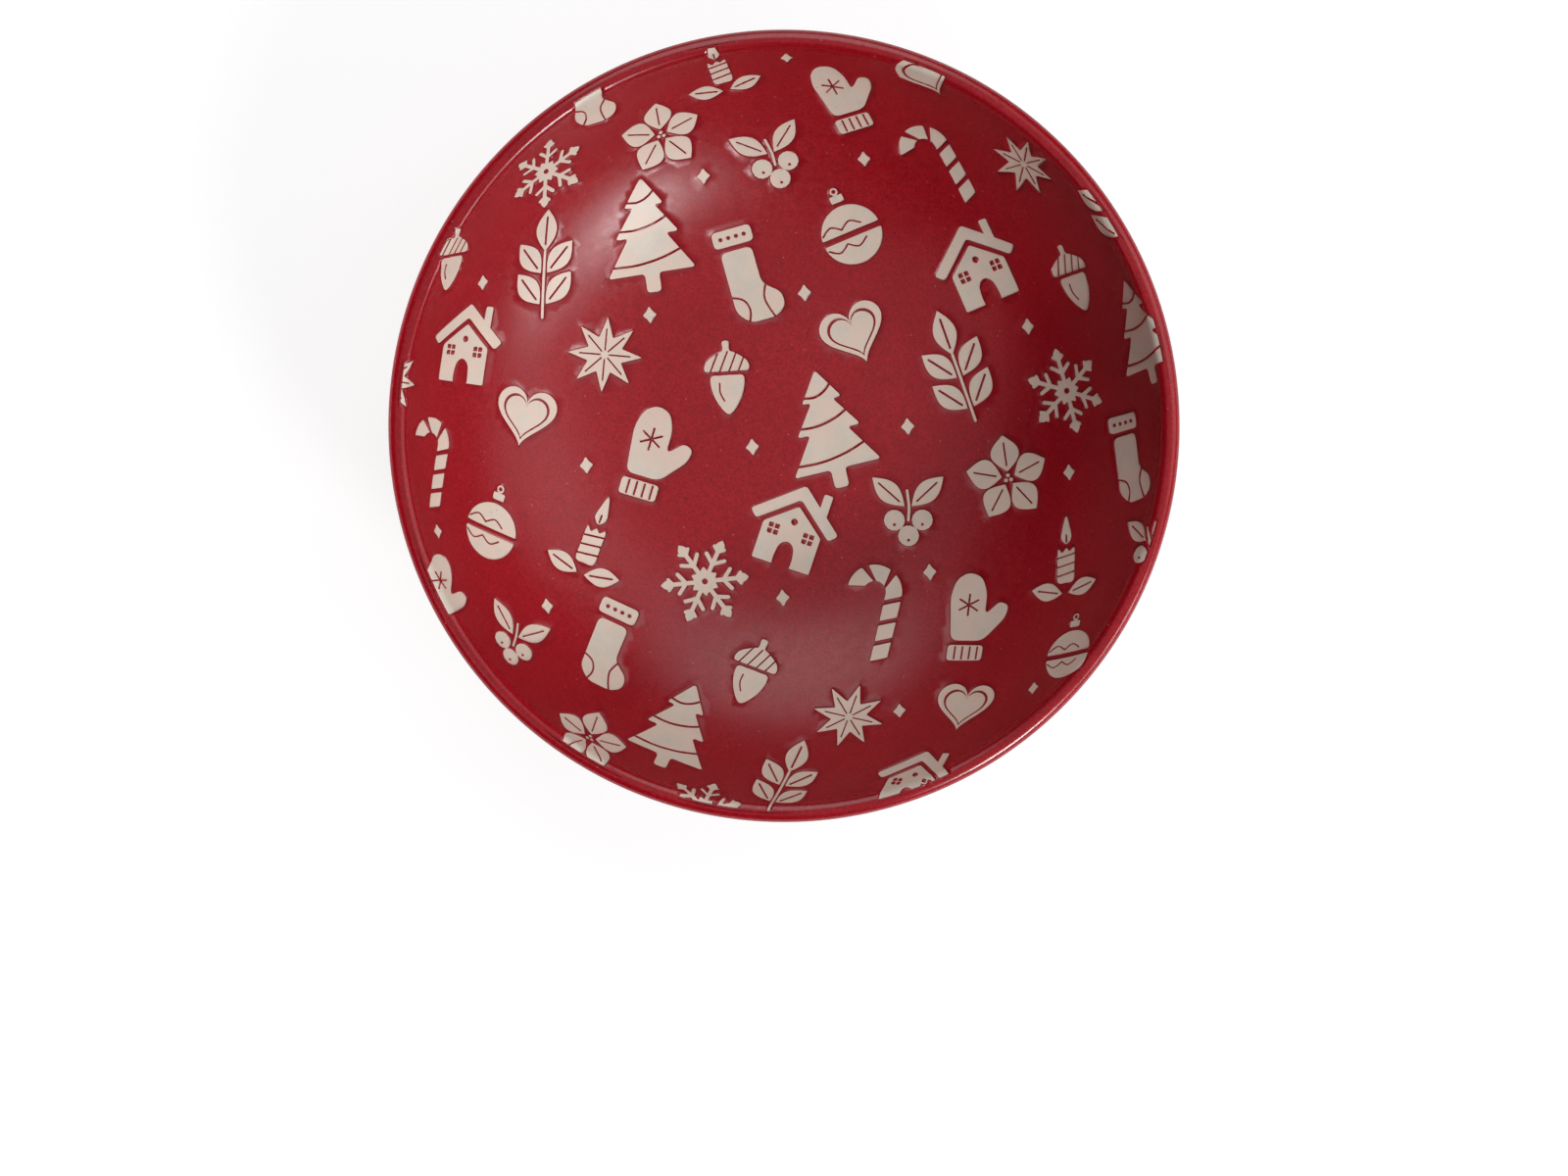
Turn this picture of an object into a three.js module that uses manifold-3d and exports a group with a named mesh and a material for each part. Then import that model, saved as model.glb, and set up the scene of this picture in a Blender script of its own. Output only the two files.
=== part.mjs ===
// Soup plate in stoneware: a clay body with a flat-centred well, an arched wall, a full-round lip
// and a foot ring, and its three coats of red glaze. The coat of the well is left open in the
// shapes of small winter motifs, where the bare clay shows.
// Millimetres, +Z up. The origin is the centre of the plane that the foot ring stands on.

import * as THREE from 'three';
import { mergeVertices } from 'three/addons/utils/BufferGeometryUtils.js';
import Module from 'manifold-3d';

// The plate over its glaze
const RIM_DIAMETER = 205;
const HEIGHT = 54.5;
const WALL = 5.2; // the lip is a full round of this thickness
const FLOOR_DIAMETER = 72; // the flat of the well, where the arc of the wall begins
const BASE_RISE = 3.7; // height of the recess inside the foot ring

// Foot ring
const FOOT_DIAMETER = 101;
const FOOT_WIDTH = 5;
const FOOT_EDGE = 0.5; // rounding of the bare edges that stand on the table
const FOOT_FILLET = 1.6; // hollow where the wall meets the foot outside
const RECESS_FILLET = 2; // hollow where the base meets the foot inside

// Glaze
const GLAZE = 0.5;
const GLAZE_SEAT = 0.05; // clearance between a coat and the clay under it, and between two coats
const BARE_BAND = 0.1; // bare clay on the sides of the foot, above its rounded edges

// Print of open windows in the glaze of the well
const PRINT_EDGE = 0.7; // from the crest of the lip in to the edge of the print
const MOTIF_PITCH = 30.5; // side of the square of surface that each motif has to itself
const MOTIF_TILT = 0.42; // furthest that a motif leans from upright, in radians
const SPARK = 5; // the small lozenges between the motifs
const SPARK_CLEARANCE = 1.6; // least glaze between a lozenge and the circle round a motif
const SPARK_SPACING = 40; // least distance between two lozenges

// Facets
const TURN_STEPS = 32;
const WALL_STEPS = 5;
const LIP_STEPS = 3;
const FILLET_STEPS = 2;

const CLAY_MATERIAL = new THREE.MeshStandardMaterial({ color: 0xd2c5ba, roughness: 0.85, metalness: 0 });
const GLAZE_MATERIAL = new THREE.MeshStandardMaterial({ color: 0x96222b, roughness: 0.42, metalness: 0 });

// Section of the plate. The middle of the wall is a flat floor and one arc that leaves it level;
// the inside, the outside and both sides of each coat lie at fixed depths on either side of it.
const half = WALL / 2;
const lip = new THREE.Vector2(RIM_DIAMETER / 2 - half, HEIGHT - half);
const floorRadius = FLOOR_DIAMETER / 2;
const reach = lip.x - floorRadius;
const climb = lip.y - BASE_RISE - half;
const arcRadius = (reach ** 2 + climb ** 2) / (2 * climb);
const arcCentre = new THREE.Vector2(floorRadius, BASE_RISE + half + arcRadius);
const arcSpan = Math.atan2(reach, arcCentre.y - lip.y);
const insideRadius = arcRadius - half;
const footRadius = FOOT_DIAMETER / 2;
const recessRadius = footRadius - FOOT_WIDTH;
const clayDepth = GLAZE + GLAZE_SEAT;
const footEdge = Math.min(FOOT_EDGE, (FOOT_WIDTH - 2 * clayDepth) / 3);
const bareTop = footEdge + BARE_BAND;
const recessFillet = Math.min(RECESS_FILLET, BASE_RISE - bareTop);
const crest = Math.PI / 2;
const seam = Math.asin(GLAZE_SEAT / 2 / (half - GLAZE));

function arc(centre, radius, from, to, steps) {
  return Array.from({ length: steps + 1 }, (_, i) => {
    const angle = THREE.MathUtils.lerp(from, to, i / steps);
    return new THREE.Vector2(centre.x + radius * Math.cos(angle), centre.y + radius * Math.sin(angle));
  });
}

// The inside from the axis to the crest of the lip, at a depth below the glazed surface
function insidePath(depth, gap = 0) {
  return [
    new THREE.Vector2(0, BASE_RISE + WALL - depth),
    ...arc(arcCentre, insideRadius + depth, -crest, arcSpan - crest, WALL_STEPS),
    ...arc(lip, half - depth, arcSpan + crest, crest + gap, LIP_STEPS).slice(1),
  ];
}

// The outside from the crest of the lip down to the bare band of the foot
function outsidePath(depth, gap = 0) {
  const outsideRadius = arcRadius + half;
  const hollowX = footRadius + FOOT_FILLET;
  const drop = Math.sqrt((outsideRadius + FOOT_FILLET) ** 2 - (hollowX - arcCentre.x) ** 2);
  const hollow = new THREE.Vector2(hollowX, arcCentre.y - drop);
  const touch = Math.atan2(drop, arcCentre.x - hollowX);
  return [
    ...arc(lip, half - depth, crest - gap, 0, LIP_STEPS),
    ...arc(arcCentre, outsideRadius - depth, arcSpan - crest, touch - Math.PI, WALL_STEPS - 1),
    ...arc(hollow, FOOT_FILLET + depth, touch, Math.PI, FILLET_STEPS).slice(1),
    new THREE.Vector2(footRadius - depth, bareTop),
  ];
}

// The recess under the base, from the axis down to the bare band inside the foot
function recessPath(depth) {
  const hollow = new THREE.Vector2(recessRadius - recessFillet, BASE_RISE - recessFillet);
  return [
    new THREE.Vector2(0, BASE_RISE + depth),
    ...arc(hollow, recessFillet + depth, crest, 0, FILLET_STEPS),
    new THREE.Vector2(recessRadius + depth, bareTop),
  ];
}

// The two rounded edges of bare clay and the flat between them, from the inside out
function standingPath() {
  const inner = new THREE.Vector2(recessRadius + clayDepth + footEdge, footEdge);
  const outer = new THREE.Vector2(footRadius - clayDepth - footEdge, footEdge);
  return [
    ...arc(inner, footEdge, -Math.PI, -crest, FILLET_STEPS),
    ...arc(outer, footEdge, -crest, 0, FILLET_STEPS),
  ];
}

// Only positions, with shared corners merged and the empty faces on the axis left out
function closed(geometry) {
  geometry.deleteAttribute('normal');
  geometry.deleteAttribute('uv');
  const merged = mergeVertices(geometry, 1e-4);
  const corners = merged.index.array;
  const kept = [];
  for (let i = 0; i < corners.length; i += 3) {
    const [a, b, c] = corners.slice(i, i + 3);
    if (a !== b && b !== c && c !== a) kept.push(a, b, c);
  }
  merged.setIndex(kept);
  return merged;
}

// A section that runs anticlockwise, turned about the vertical axis
function turned(section) {
  return closed(new THREE.LatheGeometry(section, TURN_STEPS).rotateX(Math.PI / 2));
}

function clayBody() {
  return turned([
    ...recessPath(clayDepth),
    ...standingPath(),
    ...outsidePath(clayDepth).reverse(),
    ...insidePath(clayDepth).reverse().slice(1),
  ]);
}

function insideCoat() {
  return turned([...insidePath(GLAZE, seam), ...insidePath(0, seam).reverse()]);
}

function outsideCoat() {
  const section = [...outsidePath(0, seam).reverse(), ...outsidePath(GLAZE, seam)];
  return turned([...section, section[0].clone()]);
}

function recessCoat() {
  return turned([...recessPath(0), ...recessPath(GLAZE).reverse()]);
}

// Motifs. Each is a list of outlines in a square of side 1 about its own centre. The outlines of
// one motif stay apart, so the glaze between them is a line that joins the glaze around them.
const point = (x, y) => new THREE.Vector2(x, y);

function leaf(x, y, angle, length, width, steps = 2) {
  const along = Array.from({ length: steps + 1 }, (_, i) => i / steps);
  const edge = (side) => along.map((t) => point(t * length, (side * Math.sin(Math.PI * t) * width) / 2));
  const outline = [...edge(-1), ...edge(1).reverse().slice(1, -1)];
  return outline.map((p) => p.rotateAround(point(0, 0), angle).add(point(x, y)));
}

function disc(x, y, radius, steps = 5) {
  return arc(point(x, y), radius, 0, 2 * Math.PI, steps).slice(0, -1);
}

function box(x0, y0, x1, y1) {
  return [point(x0, y0), point(x1, y0), point(x1, y1), point(x0, y1)];
}

// Closes an outline whose right half is given from the bottom up
function mirrored(rightHalf) {
  const right = rightHalf.map(([x, y]) => point(x, y));
  const left = right.filter((p) => p.x > 0).map((p) => point(-p.x, p.y));
  return [...right, ...left.reverse()];
}

function spokes(count, start, radius, length, width) {
  return Array.from({ length: count }, (_, i) => {
    const angle = start + (2 * Math.PI * i) / count;
    return leaf(radius * Math.cos(angle), radius * Math.sin(angle), angle, length, width);
  });
}

function star(count, outer, inner) {
  const turn = (2 * Math.PI) / count;
  const tips = arc(point(0, 0), outer, crest, crest + 2 * Math.PI - turn, count - 1);
  const waists = arc(point(0, 0), inner, crest + turn / 2, crest + 2 * Math.PI - turn / 2, count - 1);
  return tips.flatMap((tip, i) => [tip, waists[i]]);
}

function fir() {
  return [mirrored([
    [0.06, -0.5], [0.06, -0.34], [0.37, -0.34], [0.16, -0.02], [0.27, -0.02], [0.09, 0.24], [0.17, 0.24], [0, 0.5],
  ])];
}

function heart() {
  const steps = 12;
  return [Array.from({ length: steps }, (_, i) => {
    const t = (2 * Math.PI * i) / steps;
    const y = 13 * Math.cos(t) - 5 * Math.cos(2 * t) - 2 * Math.cos(3 * t) - Math.cos(4 * t);
    return point((-16 * Math.sin(t) ** 3) / 34, (y + 2.5) / 34);
  })];
}

function stocking() {
  const sock = [
    point(-0.16, -0.37), point(-0.04, -0.5), point(0.22, -0.5), point(0.33, -0.42),
    point(0.33, -0.28), point(0.16, -0.14), point(0.16, 0.24), point(-0.16, 0.24),
  ];
  return [sock, box(-0.2, 0.29, 0.2, 0.46)];
}

function northStar() {
  return [star(8, 0.5, 0.24)];
}

function candle() {
  return [
    box(-0.1, -0.26, 0.1, 0.12),
    leaf(0, 0.17, crest, 0.3, 0.16),
    leaf(-0.04, -0.38, 2.9, 0.38, 0.2),
    leaf(0.04, -0.38, 0.24, 0.38, 0.2),
  ];
}

function acorn() {
  const nut = mirrored([[0, -0.48], [0.12, -0.36], [0.21, -0.18], [0.21, 0.02]]);
  const cup = mirrored([[0.28, 0.08], [0.26, 0.2], [0.12, 0.3], [0.04, 0.32], [0.04, 0.45]]);
  return [nut, cup];
}

function mitten() {
  const hand = [
    point(-0.2, -0.26), point(0.14, -0.26), point(0.36, 0), point(0.38, 0.13), point(0.28, 0.17),
    point(0.13, 0.02), point(0.13, 0.26), point(0.06, 0.42), point(-0.08, 0.46), point(-0.2, 0.38), point(-0.25, 0.2),
  ];
  return [hand, box(-0.22, -0.48, 0.16, -0.31)];
}

function crystal() {
  return [star(6, 0.5, 0.17)];
}

// A straight stem and a half-turn hook, as six slanted stripes with glaze between them
function cane() {
  const radius = 0.19;
  const stem = 0.69;
  const halfWidth = 0.08;
  const stripe = 0.16;
  const spacing = 0.21;
  const slant = 0.035;
  const across = (d, side) => {
    const turn = Math.min(Math.max(d - stem, 0) / radius, Math.PI);
    const distance = radius + side * halfWidth;
    return point(distance * Math.cos(turn), Math.min(d, stem) - 0.48 + distance * Math.sin(turn));
  };
  return Array.from({ length: 6 }, (_, i) => {
    const start = i * spacing + slant;
    return [
      across(start + slant, 1), across(start + stripe + slant, 1),
      across(start + stripe - slant, -1), across(start - slant, -1),
    ];
  });
}

function poinsettia() {
  return spokes(5, crest, 0.08, 0.42, 0.34);
}

function cottage() {
  const walls = mirrored([[0.08, -0.4], [0.3, -0.4], [0.3, -0.02], [0, 0.22]]);
  walls.push(point(-0.08, -0.16), point(0.08, -0.16));
  const roof = mirrored([[0, 0.29], [0.38, -0.02], [0.46, 0.06], [0, 0.44]]);
  return [walls, roof];
}

function mistletoe() {
  return [
    leaf(-0.04, 0.02, 2.4, 0.5, 0.24, 3),
    leaf(0.04, 0.02, 0.74, 0.5, 0.24, 3),
    ...[[-0.16, -0.14], [0.16, -0.14], [0, -0.32]].map(([x, y]) => disc(x, y, 0.13)),
  ];
}

function twig() {
  const sides = [-0.38, -0.1].flatMap((y) => [
    leaf(0.03, y, 0.9, 0.36, 0.2),
    leaf(-0.03, y, Math.PI - 0.9, 0.36, 0.2),
  ]);
  return [...sides, leaf(0, 0.1, crest, 0.4, 0.2)];
}

function bauble() {
  const radius = 0.36;
  const centre = point(0, -0.12);
  const band = 0.1;
  return [
    arc(centre, radius, band, Math.PI - band, 5),
    arc(centre, radius, Math.PI + band, 2 * Math.PI - band, 5),
    box(-0.08, 0.29, 0.08, 0.4),
  ];
}

// Sizes are in pitches. Large and small motifs take turns, so neighbours differ in size and in kind.
const MOTIFS = [
  { draw: fir, size: 1.08 },
  { draw: heart, size: 0.62 },
  { draw: stocking, size: 0.9 },
  { draw: northStar, size: 0.68 },
  { draw: candle, size: 0.88 },
  { draw: acorn, size: 0.7 },
  { draw: mitten, size: 0.9 },
  { draw: crystal, size: 0.8 },
  { draw: cane, size: 0.92 },
  { draw: poinsettia, size: 0.78 },
  { draw: cottage, size: 0.9 },
  { draw: mistletoe, size: 0.78 },
  { draw: twig, size: 1.04 },
  { draw: bauble, size: 0.76 },
];

function spark() {
  return [star(2, 0.5, 0.4)];
}

// Places in the print are plane points, as on a sheet laid over the well from its middle:
// the distance from the middle is kept along the surface, and the direction stays the same.
const printRadius = floorRadius + insideRadius * arcSpan;
const GOLDEN_ANGLE = Math.PI * (3 - Math.sqrt(5));

// Seeds of a sunflower, each with the same area round it
function seeds(pitch, limit) {
  const ring = pitch / Math.sqrt(Math.PI);
  const count = Math.floor((limit / ring) ** 2);
  return Array.from({ length: count }, (_, i) => {
    const distance = ring * Math.sqrt(i + 0.5);
    return point(distance * Math.cos(i * GOLDEN_ANGLE), distance * Math.sin(i * GOLDEN_ANGLE));
  });
}

function motifPlaces() {
  return seeds(MOTIF_PITCH, printRadius + MOTIF_PITCH / 4).map((place, i) => {
    const { draw, size } = MOTIFS[(i * 5) % MOTIFS.length];
    return { draw, size: size * MOTIF_PITCH, place, tilt: MOTIF_TILT * Math.sin(2.4 * i + 0.6) };
  });
}

// Sparks go where they clear every motif and one another
function sparkPlaces(motifs) {
  const chosen = [];
  for (const place of seeds(SPARK, printRadius - SPARK)) {
    const clear = motifs.every((m) => m.place.distanceTo(place) > (m.size + SPARK) / 2 + SPARK_CLEARANCE);
    const apart = chosen.every((c) => c.place.distanceTo(place) > SPARK_SPACING);
    if (clear && apart) chosen.push({ draw: spark, size: SPARK, place, tilt: 0.1 });
  }
  return chosen;
}

// The point of space over a place of the print, at a height above the glazed surface
function overPrint(place, height) {
  const along = place.length();
  const angle = Math.max(along - floorRadius, 0) / insideRadius;
  const radius = Math.min(along, floorRadius) + (insideRadius - height) * Math.sin(angle);
  const z = arcCentre.y - (insideRadius - height) * Math.cos(angle);
  const scale = along > 0 ? radius / along : 0;
  return new THREE.Vector3(place.x * scale, place.y * scale, z);
}

// A closed prism over one outline, as far out of the surface as the offset on both sides
function cutterOver(outline, offset) {
  const points = THREE.ShapeUtils.isClockWise(outline) ? [...outline].reverse() : outline;
  const n = points.length;
  const below = points.map((p) => overPrint(p, 0).sub(offset));
  const above = points.map((p) => overPrint(p, 0).add(offset));
  const faces = [];
  for (const [a, b, c] of THREE.ShapeUtils.triangulateShape(points, [])) {
    faces.push(a, c, b, a + n, b + n, c + n);
  }
  for (let i = 0; i < n; i += 1) {
    const j = (i + 1) % n;
    faces.push(i, j, j + n, i, j + n, i + n);
  }
  const geometry = new THREE.BufferGeometry().setFromPoints([...below, ...above]);
  geometry.setIndex(faces);
  return geometry;
}

function cuttersOf({ draw, size, place, tilt }) {
  const lay = (p) => p.clone().multiplyScalar(size).rotateAround(point(0, 0), tilt).add(place);
  const offset = overPrint(place, WALL).sub(overPrint(place, 0));
  return draw().map((outline) => cutterOver(outline.map(lay), offset));
}

// The upright cylinder of the print, which ends the windows in a clean line on the round of the lip
function printSpace() {
  const radius = lip.x - PRINT_EDGE;
  const top = HEIGHT + WALL;
  return turned([point(0, 0), point(radius, 0), point(radius, top), point(0, top)]);
}

const wasm = await Module();
wasm.setup();

function toSolid(geometry) {
  return new wasm.Manifold(new wasm.Mesh({
    numProp: 3,
    vertProperties: new Float32Array(geometry.getAttribute('position').array),
    triVerts: new Uint32Array(geometry.index.array),
  }));
}

function toGeometry(solid) {
  const mesh = solid.getMesh();
  const geometry = new THREE.BufferGeometry();
  geometry.setAttribute('position', new THREE.BufferAttribute(mesh.vertProperties, mesh.numProp));
  geometry.setIndex(new THREE.BufferAttribute(mesh.triVerts, 1));
  return geometry;
}

function printedCoat() {
  const motifs = motifPlaces();
  const cutters = [...motifs, ...sparkPlaces(motifs)].flatMap(cuttersOf).map(toSolid);
  const windows = cutters.reduce((all, cutter) => all.add(cutter)).intersect(toSolid(printSpace()));
  return toGeometry(toSolid(insideCoat()).subtract(windows));
}

function part(name, geometry, material) {
  geometry.computeVertexNormals();
  const mesh = new THREE.Mesh(geometry, material);
  mesh.name = name;
  return mesh;
}

const group = new THREE.Group();
group.add(
  part('stoneware_body', clayBody(), CLAY_MATERIAL),
  part('inner_glaze', printedCoat(), GLAZE_MATERIAL),
  part('outer_glaze', outsideCoat(), GLAZE_MATERIAL),
  part('base_glaze', recessCoat(), GLAZE_MATERIAL),
);

export default group;
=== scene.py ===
import math

import bpy
import numpy as np
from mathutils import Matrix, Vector, geometry, kdtree


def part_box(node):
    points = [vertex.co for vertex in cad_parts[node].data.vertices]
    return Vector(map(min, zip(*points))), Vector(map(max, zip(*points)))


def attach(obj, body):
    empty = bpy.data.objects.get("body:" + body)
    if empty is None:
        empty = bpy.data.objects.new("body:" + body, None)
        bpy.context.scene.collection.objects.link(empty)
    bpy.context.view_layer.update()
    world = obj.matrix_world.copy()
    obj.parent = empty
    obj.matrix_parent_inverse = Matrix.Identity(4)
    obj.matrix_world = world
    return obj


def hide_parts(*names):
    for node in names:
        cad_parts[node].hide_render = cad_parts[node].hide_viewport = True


MM = 0.001
TAU = 2 * math.pi
CREST = math.pi / 2
GOLDEN_ANGLE = math.pi * (3 - math.sqrt(5))

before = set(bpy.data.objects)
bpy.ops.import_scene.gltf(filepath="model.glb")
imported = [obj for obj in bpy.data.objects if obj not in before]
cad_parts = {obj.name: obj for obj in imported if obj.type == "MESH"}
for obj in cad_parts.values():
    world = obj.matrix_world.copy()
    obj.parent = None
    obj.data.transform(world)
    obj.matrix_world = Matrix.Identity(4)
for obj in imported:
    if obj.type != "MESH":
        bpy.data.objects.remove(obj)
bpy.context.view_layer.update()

# The plate over its glaze
RIM_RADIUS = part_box("outer_glaze")[1].x / MM
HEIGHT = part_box("outer_glaze")[1].z / MM
WALL = 5.2
FLOOR_RADIUS = 36  # of the flat in the middle of the well
BASE_RISE = 3.7  # from the table to the underside of that flat

# Foot ring
FOOT_RADIUS = 50.5
FOOT_WIDTH = 5
FOOT_EDGE = 0.5  # radius of the rounding on both sides of the flat that stands on the table
FOOT_FILLET = 1.6
RECESS_FILLET = 2

# Glaze
COAT = 0.3  # from the glazed surface down to the clay
BARE_TOP = 0.6  # from the table to the lower end of a coat
BEAD = 0.5  # width of the rounded edge of a coat
BULGE = 0.06  # how far the glaze is drawn up beside its edge
BULGE_WIDTH = 1.4

# Print of open windows in the glaze of the well
PRINT_EDGE = 0.7  # from the crest of the lip to the print, seen from above
MOTIF_PITCH = 30.5
MOTIF_OVERHANG = MOTIF_PITCH / 4  # how far past the wall's end a motif may be centred
MOTIF_STRIDE = 5  # places in the list of motifs from one seed to the next
MOTIF_TILT = 0.42  # the most that a motif is turned, in radians
TILT_STEP, TILT_START = 2.4, 0.6  # phase of the tilt
SPARK = 5  # length of a small lozenge
SPARK_TILT = 0.1
SPARK_CLEARANCE = 1.6  # to the circle round a motif
SPARK_SPACING = 40
HAIR = 0.02  # width of a line of glaze inside a motif, as a share of the motif

# Steps of the section and of the turned surfaces
TURN_STEPS = 480
LIP_ARC_STEPS = 28
WALL_ARC_STEPS = 34
FILLET_STEPS = 12
FOOT_EDGE_STEPS = 10
BEAD_STEPS = 6
SHARP_ANGLE = math.radians(50)

# Places of the print's mesh. Each keeps a clearance from the windows' edges, and from other places
EDGE_STEP = 0.7  # the longest edge of a window
EDGE_SAMPLES = (0, 0.17, 0.33, 0.5, 0.67, 0.83)  # shares of an edge from which distances are taken
BEAD_ROWS = (0.13, 0.36, 0.85)  # places on the glaze beside a window
CLAY_ROWS = (0.2, 0.5)  # places on the clay inside it
ROW_CLEARANCE = 0.8  # as a share of the row's distance from its edge
ROW_SPACING = (0.75, 0.05)  # the same for its spacing, and a length added to it
FIELD_STEP, FIELD_CLEARANCE, FIELD_SPACING = 1.9, 1.1, 1.0
LIP_STEP, LIP_CLEARANCE = 0.27, 0.1
UNDERSIDE_STEP, UNDERSIDE_LIP_STEP, UNDERSIDE_CLEARANCE = 8, 0.6, 0.3
UNDERSIDE_MARGIN, UNDERSIDE_LIP_MARGIN = 1, 0.1  # from its rings to the wall's end and to the crest
LEAST_ON_RING = 6  # places on the smallest ring
OUTLINE_TOLERANCE, PLACE_TOLERANCE = 1e-5, 1e-6  # closer points than this are joined into one

PAINTED_EDGE_ATTRIBUTE = "edge"  # name of the attribute, kept in the meshes, that holds the painted shade and painted light beside the windows' edges
PAINTED_EDGE_WIDTH = 0.6  # width of that painted shade on the glaze and painted light on the clay, on both sides of an edge

# Colours, as linear light
CLAY_LIGHT = (0.71, 0.65, 0.56)
CLAY_DARK = (0.65, 0.595, 0.51)
CLAY_SAND = (0.56, 0.48, 0.4)
CLAY_SPECK = (0.2, 0.12, 0.08)
# Beside the windows' edges the clay is painted pinker: painted red light thrown from the glaze, and
# partly a thin bleed of red glaze
CLAY_EDGE_BLEED_AND_BOUNCE = (0.77, 0.585, 0.49)
GLAZE_RED = (0.392, 0.0064, 0.0154)
GLAZE_DEEP = (0.352, 0.0047, 0.0126)
GLAZE_SPECKLE = (0.215, 0.0016, 0.0065)
GLAZE_PALE_SPECK = (0.46, 0.07, 0.075)
GLAZE_DARK_SPECK = (0.15, 0.002, 0.005)
# Beside the windows' edges the glaze is painted darker: painted shade at the step of the coat, and
# partly glaze pooled there
GLAZE_EDGE_SHADE = (0.24, 0.004, 0.011)

# Grain of the surfaces: noises by their cells to the metre, detail and roughness
CLAY_CLOUDS = (180, 3)
CLAY_SAND_GRAIN = (2600, 2)
CLAY_SKIN = (3200, 3, 0.6)
GLAZE_CLOUDS = (60, 3)
GLAZE_SPECKLE_GRAIN = (1500, 3, 0.6)
GLAZE_UNEVENNESS = (420, 3, 0.6)
GLAZE_WAVES = (130, 1)
GLAZE_SKIN = (1800, 2)

# Levels of a noise between which one colour or polish passes into another
CLOUD_LEVELS = (0.35, 0.65)
GRAIN_LEVELS = (0.3, 0.7)
SPECKLE_LEVELS = (0.38, 0.64)
SAND_SHARE = 0.35
SPECKLE_SHARE = 0.8

# Specks by their cells to the metre, and a speck's radius as a share of its cell
CLAY_SPECKS = (260, 0.055)
PALE_SPECKS = (260, 0.075)
DARK_SPECKS = (215, 0.06)
SPECK_CORE = 0.6  # share of the radius that has the full colour

# Depths of the bumps, and polish
CLAY_SKIN_DEPTH = 0.012
GLAZE_WAVE_DEPTH = 0.05
GLAZE_SKIN_DEPTH = 0.016
EVEN = 0.5  # level of the bumps where the lip is smooth
CLAY_ROUGHNESS = 0.4
GLAZE_ROUGHNESS = (0.3, 0.4)
LIP_ROUGHNESS = (0.21, 0.24)
LIP_BAND = (HEIGHT - 4, HEIGHT - 1.5)  # the satin of the walls passes into the polish of the lip

# The section's middle line: a flat, an arc up the wall and the centre of the round lip
HALF = WALL / 2
LIP = np.array([RIM_RADIUS - HALF, HEIGHT - HALF])
REACH = LIP[0] - FLOOR_RADIUS
CLIMB = LIP[1] - BASE_RISE - HALF
ARC_RADIUS = (REACH ** 2 + CLIMB ** 2) / (2 * CLIMB)
ARC_CENTRE = np.array([FLOOR_RADIUS, BASE_RISE + HALF + ARC_RADIUS])
ARC_SPAN = math.atan2(REACH, ARC_CENTRE[1] - LIP[1])
INSIDE_RADIUS = ARC_RADIUS - HALF
WALL_END = FLOOR_RADIUS + INSIDE_RADIUS * ARC_SPAN
CREST_END = WALL_END + HALF * ARC_SPAN
PRINT_END = CREST_END - HALF * math.asin(PRINT_EDGE / HALF)
RECESS_RADIUS = FOOT_RADIUS - FOOT_WIDTH


# Section of the plate, as rows of radius and height

def arc(centre, radius, start, end, steps):
    angles = np.linspace(start, end, steps + 1)
    return np.asarray(centre) + radius * np.column_stack([np.cos(angles), np.sin(angles)])


def outside_path(depth, bottom=BARE_TOP):
    """The outside from the crest of the lip down to the bare band of the foot."""
    outside_radius = ARC_RADIUS + HALF
    hollow_x = FOOT_RADIUS + FOOT_FILLET
    drop = math.sqrt((outside_radius + FOOT_FILLET) ** 2 - (hollow_x - ARC_CENTRE[0]) ** 2)
    touch = math.atan2(drop, ARC_CENTRE[0] - hollow_x)
    return np.vstack([
        arc(LIP, HALF - depth, CREST, ARC_SPAN - CREST, LIP_ARC_STEPS),
        arc(ARC_CENTRE, outside_radius - depth, ARC_SPAN - CREST, touch - math.pi, WALL_ARC_STEPS)[1:],
        arc([hollow_x, ARC_CENTRE[1] - drop], FOOT_FILLET + depth, touch, math.pi, FILLET_STEPS)[1:],
        [FOOT_RADIUS - depth, bottom],
    ])


def recess_path(depth, bottom=BARE_TOP):
    """The recess under the base, from the axis down to the bare band inside the foot."""
    hollow = [RECESS_RADIUS - RECESS_FILLET, BASE_RISE - RECESS_FILLET]
    return np.vstack([
        [0, BASE_RISE + depth],
        arc(hollow, RECESS_FILLET + depth, CREST, 0, FILLET_STEPS),
        [RECESS_RADIUS + depth, bottom],
    ])


def standing_path():
    """The two rounded edges of bare clay and the flat between them, from the inside out."""
    inset = COAT + FOOT_EDGE
    return np.vstack([
        arc([RECESS_RADIUS + inset, FOOT_EDGE], FOOT_EDGE, -math.pi, -CREST, FOOT_EDGE_STEPS),
        arc([FOOT_RADIUS - inset, FOOT_EDGE], FOOT_EDGE, -CREST, 0, FOOT_EDGE_STEPS),
    ])


def bead_path(side, inward):
    """The rounded lower end of a coat on the foot, from its face to the clay."""
    t = np.linspace(0, 1, BEAD_STEPS + 1)[1:-1]
    fall = 1 - np.sqrt(1 - t ** 2)
    return np.column_stack([side + inward * COAT * fall, BARE_TOP + BEAD * (1 - t)])


# Meshes

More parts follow.
